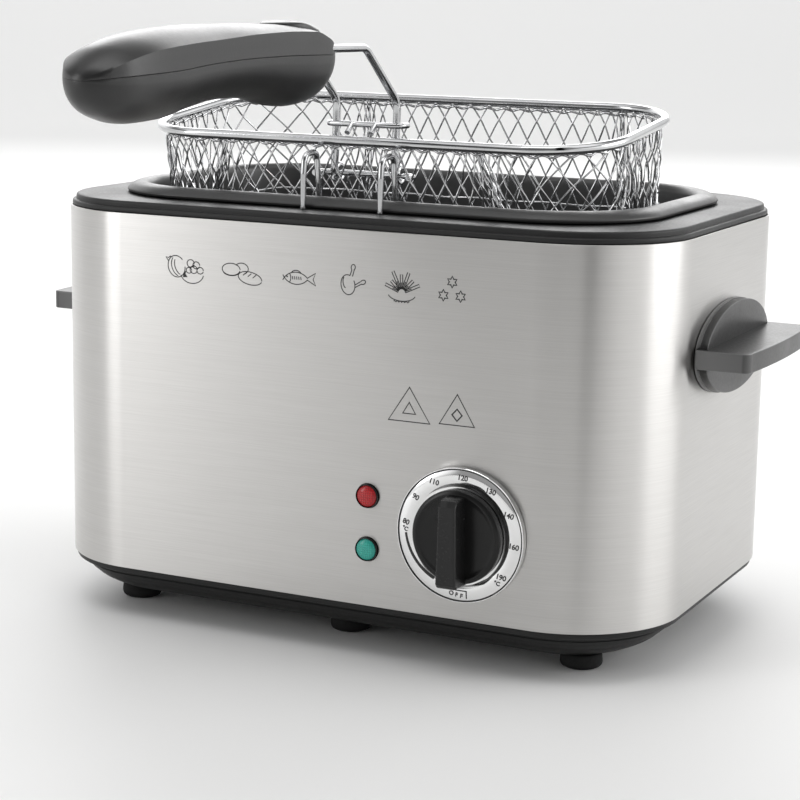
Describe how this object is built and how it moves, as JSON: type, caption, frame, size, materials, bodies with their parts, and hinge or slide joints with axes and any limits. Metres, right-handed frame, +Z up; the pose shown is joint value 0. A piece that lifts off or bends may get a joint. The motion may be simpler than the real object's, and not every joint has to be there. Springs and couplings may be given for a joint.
{
  "type": "deep fryer",
  "caption": "Compact electric deep fryer: rounded oblong steel housing, black top frame and base, non-stick oil pot, wire basket hooked up to drain, dial, lamps and side handles.",
  "frame": {"origin": "on the floor, at the middle of the box that holds the whole object, basket handle and cord gland included", "axes": "+Z up, -Y towards the dial and the basket handle (the user), +X to the right as seen from the front"},
  "size_m": [0.306, 0.334, 0.2366],
  "materials": {
    "brushed_steel": "horizontally brushed, satin",
    "black_plastic": "fine matt moulded texture",
    "grip_plastic": "satin, fine leathery spark texture",
    "knob_plastic": "semi-gloss black",
    "nonstick_coating": "smooth black non-stick with fine speckle",
    "chrome_wire": "bright nickel-chrome plated wire",
    "dial_chrome": "mirror ring with printed scale",
    "plated_steel": "zinc plated",
    "brass": "turned",
    "copper": "drawn copper",
    "rubber": "matt",
    "white_polymer": "heat-resistant moulding",
    "red_lens": "pebbled clear red",
    "green_lens": "pebbled clear green",
    "brown_sleeve": "wire insulation",
    "blue_sleeve": "wire insulation",
    "earth_sleeve": "wire insulation, green and yellow"
  },
  "bodies": {
    "root": {"outer_shell": "brushed_steel", "top_frame": "black_plastic", "base_tray": "black_plastic", "side_handle_left": "black_plastic", "side_handle_right": "black_plastic", "oil_pot": "nonstick_coating", "heating_element": "plated_steel", "element_clamp_bar": "plated_steel", "heat_shield": "plated_steel", "clamp_screw": "plated_steel", "thermal_cutout": "white_polymer", "dial_bezel": "dial_chrome", "thermostat_bracket": "plated_steel", "thermostat_screw_left": "plated_steel", "thermostat_screw_right": "plated_steel", "thermostat_body": "white_polymer", "sensor_bulb": "copper", "capillary_tube": "copper", "sensor_clip": "plated_steel", "power_lamp_sleeve": "black_plastic", "power_lamp_lens": "red_lens", "ready_lamp_sleeve": "black_plastic", "ready_lamp_lens": "green_lens", "cord_gland": "rubber", "terminal_block": "white_polymer", "live_lead": "brown_sleeve", "neutral_lead": "blue_sleeve", "earth_lead": "earth_sleeve", "element_lead_neutral": "blue_sleeve", "element_lead_live": "brown_sleeve", "thermostat_lead": "brown_sleeve", "foot_front_left": "rubber", "foot_front_middle": "rubber", "foot_front_right": "rubber", "foot_rear_left": "rubber", "foot_rear_middle": "rubber", "foot_rear_right": "rubber", "base_bracket_left": "plated_steel", "base_screw_left_front": "plated_steel", "side_screw_left_front": "plated_steel", "base_screw_left_rear": "plated_steel", "side_screw_left_rear": "plated_steel", "base_bracket_right": "plated_steel", "base_screw_right_front": "plated_steel", "side_screw_right_front": "plated_steel", "base_screw_right_rear": "plated_steel", "side_screw_right_rear": "plated_steel"},
    "dial_knob": {"temperature_knob": "knob_plastic", "thermostat_spindle": "brass"},
    "basket": {"basket_rim": "chrome_wire", "basket_mesh": "chrome_wire", "basket_hook_left": "chrome_wire", "basket_hook_right": "chrome_wire", "handle_pin_wire": "chrome_wire", "handle_stop_wire": "chrome_wire"},
    "basket_handle": {"handle_wire": "chrome_wire", "grip_upper": "grip_plastic", "grip_lower": "grip_plastic", "grip_screw_1": "plated_steel", "grip_screw_2": "plated_steel"}
  },
  "joints": [
    {"name": "knob_turn", "type": "hinge", "parent": "root", "child": "dial_knob", "pos_m": [0.0609, -0.022, 0.0529], "axis": [0, 1, 0], "range_deg": [0, 315]},
    {"name": "basket_lift", "type": "slide", "parent": "root", "child": "basket", "axis": [0, 0, 1], "range_m": [0, 0.1]},
    {"name": "handle_fold", "type": "hinge", "parent": "basket", "child": "basket_handle", "pos_m": [0, 0.023, 0.178], "axis": [-1, 0, 0], "range_deg": [0, 117]}
  ]
}
